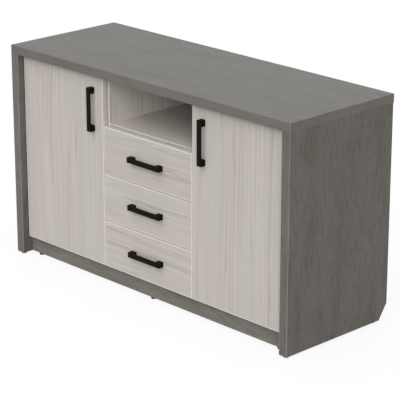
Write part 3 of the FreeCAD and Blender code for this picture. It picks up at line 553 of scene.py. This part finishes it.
def add_block(mesh, low, high, round_off):
    """Box between two corners with its edges rounded."""
    low, high = Vector(low), Vector(high)
    size = Matrix.Diagonal((*(high - low), 1))
    made = bmesh.ops.create_cube(mesh, size=1.0, matrix=Matrix.Translation((low + high) / 2) @ size)
    edges = {edge for vert in made["verts"] for edge in vert.link_edges}
    bmesh.ops.bevel(
        mesh, geom=list(edges), offset=round_off, affect="EDGES", segments=3, profile=0.5, material=-1
    )


POINTER_RAISE = 0.0002
POINTER_SINK = 0.0004
POINTER_HALF = 0.0006
POINTER_START = 0.004
POINTER_END = 0.0112
POINTER_ROUND = 0.0001
pointer = bmesh.new()
add_block(
    pointer,
    (knob_low.x - POINTER_RAISE, dial_middle.y - POINTER_HALF, dial_middle.z + POINTER_START),
    (knob_low.x + POINTER_SINK, dial_middle.y + POINTER_HALF, dial_middle.z + POINTER_END),
    POINTER_ROUND,
)
finish_piece(pointer, "thermostat_pointer", "thermostat_knob", black_plastic)


# Glass shelves: clear toughened sheets on the liner's ledges, with a turned-up stop at the rear.
# A white plastic strip is clipped along each front edge.

def clear_glass():
    """Clear glass, slightly green, with faint smears."""
    material, tree, shader, place = new_finish(
        "clear_toughened_glass", roughness=0.03, IOR=1.5, Transmission_Weight=1.0
    )
    cloud = add_node(tree, "ShaderNodeTexNoise", Vector=place, Scale=25.0, Detail=2.0)
    colour = add_ramp(tree, cloud.outputs["Fac"], ((0.3, "E9F3EF"), (0.7, "F2F8F5")))
    tree.links.new(colour, shader.inputs["Base Color"])
    smear = add_node(tree, "ShaderNodeMapRange", Value=cloud.outputs["Fac"], To_Min=0.01, To_Max=0.07)
    tree.links.new(smear.outputs[0], shader.inputs["Roughness"])
    return material


give(clear_glass(), "fridge_shelves")
TRIM_DEPTH = 0.007
TRIM_HALF = 0.0035
TRIM_GRIP = 0.002
TRIM_SHORTFALL = 0.001
TRIM_ROUND = 0.0012
GLASS_LEVELS = (0.267, 0.387)
shelf_low, shelf_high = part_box("fridge_shelves")
trims = bmesh.new()
for level in GLASS_LEVELS:
    add_block(
        trims,
        (shelf_low.x + TRIM_SHORTFALL, shelf_low.y - TRIM_DEPTH + TRIM_GRIP, level - TRIM_HALF),
        (shelf_high.x - TRIM_SHORTFALL, shelf_low.y + TRIM_GRIP, level + TRIM_HALF),
        TRIM_ROUND,
    )
finish_piece(trims, "glass_shelf_trims", "carcass", liner_plastic)


# Ice compartment: an evaporator of roll-bonded aluminium sheet folded into a sleeve under the ceiling.
# The coolant channel is blown up between the two layers of its floor and stands out as one bent ridge.
# The sheet is anodised and slightly frosted.

def roll_bonded_sheet():
    """Anodised sheet with a light frost."""
    material, tree, shader, place = new_finish("roll_bonded_aluminium", roughness=0.5, Metallic=0.3)
    frost = add_node(tree, "ShaderNodeTexNoise", Vector=place, Scale=110.0, Detail=4.0)
    colour = add_ramp(tree, frost.outputs["Fac"], ((0.35, "BFC3C6"), (0.65, "D9DCDE")))
    tree.links.new(colour, shader.inputs["Base Color"])
    add_bump(tree, shader, frost.outputs["Fac"], strength=0.2, distance=0.0004)
    return material


TUBE_SIDES = 12
BEND_STEPS = 8


def add_serpentine(mesh, place, half_run, pitch, runs, radius):
    """One tube bent to and fro: runs along X, stacked upward, then laid in place."""
    earlier = set(mesh.verts)
    entry = Matrix.Translation((-half_run, 0, 0)) @ Matrix.Rotation(math.pi / 2, 4, "Y")
    ring = bmesh.ops.create_circle(mesh, segments=TUBE_SIDES, radius=radius, matrix=entry)
    rim = list({edge for vert in ring["verts"] for edge in vert.link_edges})
    for run in range(runs):
        side = 1 if run % 2 == 0 else -1
        grown = bmesh.ops.extrude_edge_only(mesh, edges=rim)["geom"]
        verts = [item for item in grown if isinstance(item, bmesh.types.BMVert)]
        edges = [item for item in grown if isinstance(item, bmesh.types.BMEdge)]
        bmesh.ops.translate(mesh, verts=verts, vec=(2 * side * half_run, 0, 0))
        rim = [edge for edge in edges if set(edge.verts) <= set(verts)]
        if run < runs - 1:
            bend = (side * half_run, 0, (run + 0.5) * pitch)
            turned = bmesh.ops.spin(
                mesh, geom=verts + rim, cent=bend, axis=(0, -side, 0), angle=math.pi, steps=BEND_STEPS,
                use_duplicate=False,
            )
            rim = [item for item in turned["geom_last"] if isinstance(item, bmesh.types.BMEdge)]
    bmesh.ops.holes_fill(mesh, edges=mesh.edges, sides=TUBE_SIDES)
    bmesh.ops.transform(mesh, matrix=place, verts=[vert for vert in mesh.verts if vert not in earlier])


ICE_SHEET = 0.002
RIDGE_RADIUS = 0.0026
RIDGE_PITCH = 0.026
RIDGE_RUNS = 7
RIDGE_MARGIN = 0.024
evaporator = roll_bonded_sheet()
give(evaporator, "ice_compartment")
ice_low, ice_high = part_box("ice_compartment")
ridge_start = Vector((
    (ice_low.x + ice_high.x) / 2,
    (ice_low.y + ice_high.y - (RIDGE_RUNS - 1) * RIDGE_PITCH) / 2,
    ice_low.z + ICE_SHEET / 2,
))
ridge_half_run = (ice_high.x - ice_low.x) / 2 - RIDGE_MARGIN
lying = Matrix.Translation(ridge_start) @ Matrix.Rotation(-math.pi / 2, 4, "X")
ridge = bmesh.new()
add_serpentine(ridge, lying, ridge_half_run, RIDGE_PITCH, RIDGE_RUNS, RIDGE_RADIUS)
finish_piece(ridge, "coolant_ridge", "carcass", evaporator)


# Condenser: one steel tube bent to and fro behind the case, with thin wires welded across it.
# Two folded straps hold it off the case; the whole coil is dipped in black paint.

TUBE_RADIUS = 0.003
TUBE_PITCH = 0.04
TUBE_RUNS = 9
TUBE_HALF_RUN = 0.107
WIRE_RADIUS = 0.0008
WIRE_PITCH = 0.013
WIRE_SHORTFALL = 0.02
STRAP_HALF = 0.007
STRAP_PLACE = 0.075
STRAP_ROUND = 0.001
COIL_STAND = 0.016
coil_low, coil_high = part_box("fridge_condenser")
coil_x = (coil_low.x + coil_high.x) / 2
coil_y = coil_low.y + COIL_STAND
upright = Matrix.Translation((coil_x, coil_y, coil_low.z + TUBE_PITCH / 2))
coil = bmesh.new()
add_serpentine(coil, upright, TUBE_HALF_RUN, TUBE_PITCH, TUBE_RUNS, TUBE_RADIUS)
wire_count = int(2 * TUBE_HALF_RUN / WIRE_PITCH)
wire_length = coil_high.z - coil_low.z - WIRE_SHORTFALL
for wire in range(wire_count):
    wire_x = coil_x + (wire - (wire_count - 1) / 2) * WIRE_PITCH
    wire_y = coil_y + (TUBE_RADIUS if wire % 2 else -TUBE_RADIUS)
    middle = Matrix.Translation((wire_x, wire_y, (coil_low.z + coil_high.z) / 2))
    bmesh.ops.create_cone(
        coil, cap_ends=True, segments=8, radius1=WIRE_RADIUS, radius2=WIRE_RADIUS, depth=wire_length,
        matrix=middle,
    )
for side in (-1, 1):
    strap_x = coil_x + side * STRAP_PLACE
    add_block(
        coil,
        (strap_x - STRAP_HALF, coil_low.y, coil_low.z),
        (strap_x + STRAP_HALF, coil_y - TUBE_RADIUS, coil_high.z),
        STRAP_ROUND,
    )
coil_piece = finish_piece(coil, "condenser_coil", "carcass", black_coat)
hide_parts("fridge_condenser")


# Gasket: a soft grey seal pressed into the fridge door, with rounded lips and a magnet strip inside.
# It runs round in one piece, welded at the corners.
# Inside it the door's liner has a thin white flange, glued flat to the foam.

def add_ring(mesh, low, high, width):
    """Upright frame as large and deep as a box, open in the middle."""
    span, middle = high - low, (low + high) / 2
    lay = Matrix.Translation((middle.x, low.y, middle.z)) @ Matrix.Rotation(math.pi / 2, 4, "X")
    size = Matrix.Diagonal((span.x / 2, span.z / 2, 1, 1))
    bmesh.ops.create_grid(mesh, x_segments=1, y_segments=1, size=1.0, matrix=lay @ size)
    sheet = mesh.faces[:][0]
    bmesh.ops.inset_individual(mesh, faces=[sheet], thickness=width, use_even_offset=True)
    bmesh.ops.delete(mesh, geom=[sheet], context="FACES_ONLY")
    swept = bmesh.ops.extrude_face_region(mesh, geom=mesh.faces[:])["geom"]
    verts = [item for item in swept if isinstance(item, bmesh.types.BMVert)]
    bmesh.ops.translate(mesh, verts=verts, vec=(0, span.y, 0))


SEAL_WIDTH = 0.014
SEAL_LIP = 0.0026
SAME_PLACE = 1e-5
seal_rubber = moulded("grey_seal_rubber", "8B8D8E", roughness=0.6, grain=400.0)
seal = bmesh.new()
add_ring(seal, *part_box("fridge_gasket"), SEAL_WIDTH)
lip_edges = []
for edge in seal.edges:
    run_x, run_y, run_z = (abs(part) > SAME_PLACE for part in edge.verts[0].co - edge.verts[1].co)
    if run_x != run_z and not run_y:
        lip_edges.append(edge)
bmesh.ops.bevel(
    seal, geom=lip_edges, offset=SEAL_LIP, affect="EDGES", segments=3, profile=0.5, material=-1
)
seal_piece = finish_piece(seal, "door_seal", "fridge_door", seal_rubber)
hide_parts("fridge_gasket")

FLANGE_WIDTH = 0.0228
FLANGE_SHEET = 0.0008
liner_low, liner_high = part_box("fridge_door_liner")
flange_reach = Vector((FLANGE_WIDTH, 0, FLANGE_WIDTH))
flange_high = liner_high + flange_reach
flange_high.y = liner_low.y + FLANGE_SHEET
flange = bmesh.new()
add_ring(flange, liner_low - flange_reach, flange_high, FLANGE_WIDTH)
finish_piece(flange, "door_liner_flange", "fridge_door", liner_plastic)


# Studio: a plain white floor and sky, soft light from above and weaker light from front, side and rear.
# The floor shows white to the camera and keeps a soft shadow of the cabinet.

def add_seen_mask(tree):
    """One where a ray comes straight from the camera or through a mirror or glass."""
    ray = tree.nodes.new("ShaderNodeLightPath").outputs
    glossy = add_math(tree, "MAXIMUM", ray["Is Camera Ray"], ray["Is Glossy Ray"])
    return add_math(tree, "MAXIMUM", glossy, ray["Is Transmission Ray"])


SKY_LEVEL = 0.38
FLOOR_SHADE = (0.3, 0.3, 0.3, 1)
FLOOR_SEEN_SHADE = (0.9, 0.9, 0.9, 1)
FLOOR_GLOW = 0.87
FLOOR_HALF = 30.0
WHITE = (1, 1, 1, 1)
world = bpy.data.worlds.new("white_studio")
bpy.context.scene.world = world
world.use_nodes = True
sky = world.node_tree
sky.nodes.clear()
ambient = add_node(sky, "ShaderNodeBackground", Color=WHITE, Strength=SKY_LEVEL)
backdrop = add_node(sky, "ShaderNodeBackground", Color=WHITE, Strength=1.0)
sky_seen = add_seen_mask(sky)
shown = add_node(sky, "ShaderNodeMixShader", Fac=sky_seen, _1=ambient.outputs[0], _2=backdrop.outputs[0])
sky.links.new(shown.outputs[0], add_node(sky, "ShaderNodeOutputWorld").inputs["Surface"])

floor_finish = bpy.data.materials.new("white_floor")
floor_finish.use_nodes = True
ground = floor_finish.node_tree
ground.nodes.clear()
matt = add_node(ground, "ShaderNodeBsdfDiffuse", Color=FLOOR_SHADE)
pale = add_node(ground, "ShaderNodeBsdfDiffuse", Color=FLOOR_SEEN_SHADE)
white = add_node(ground, "ShaderNodeEmission", Color=WHITE, Strength=1.0)
clean = add_node(ground, "ShaderNodeMixShader", Fac=FLOOR_GLOW, _1=pale.outputs[0], _2=white.outputs[0])
floor_seen = add_seen_mask(ground)
lit = add_node(ground, "ShaderNodeMixShader", Fac=floor_seen, _1=matt.outputs[0], _2=clean.outputs[0])
ground.links.new(lit.outputs[0], add_node(ground, "ShaderNodeOutputMaterial").inputs["Surface"])
floor_mesh = bmesh.new()
bmesh.ops.create_grid(floor_mesh, x_segments=1, y_segments=1, size=FLOOR_HALF)
floor_data = bpy.data.meshes.new("floor")
floor_mesh.to_mesh(floor_data)
floor_mesh.free()
floor_data.materials.append(floor_finish)
floor = bpy.data.objects.new("floor", floor_data)
bpy.context.scene.collection.objects.link(floor)

for name, light_from, spread in (
    ("overhead_key", Vector((-0.02, -0.04, 0.44)), 60),
    ("front_key", Vector((0.04, -0.22, 0.2)), 45),
    ("side_fill", Vector((0.28, -0.24, 0.12)), 36),
    ("rear_fill", Vector((-0.14, 0.15, 0.03)), 50),
):
    sun = bpy.data.lights.new(name, "SUN")
    sun.energy = math.pi * light_from.length
    sun.angle = math.radians(spread)
    lamp = bpy.data.objects.new(name, sun)
    lamp.rotation_euler = Vector((0, 0, 1)).rotation_difference(light_from).to_euler()
    bpy.context.scene.collection.objects.link(lamp)


# Camera: a long lens in front of the right corner, looking a little down on the top board.
# It is tilted without lens shift, so that the other views stay centred on the cabinet.

SENSOR_WIDTH = 36.0
FOCAL_LENGTH = 169.2
CAMERA_PLACE = Vector((4.573, -4.379, 2.487))
CAMERA_AIM = Vector((0.465, -0.417, 0.535))
lens = bpy.data.cameras.new("front_right")
lens.sensor_width = SENSOR_WIDTH
lens.lens = FOCAL_LENGTH
camera = bpy.data.objects.new("front_right", lens)
camera.location = CAMERA_PLACE
camera.rotation_euler = (CAMERA_AIM - CAMERA_PLACE).to_track_quat("-Z", "Y").to_euler()
bpy.context.scene.collection.objects.link(camera)
bpy.context.scene.camera = camera
bpy.context.scene.view_settings.view_transform = "Standard"
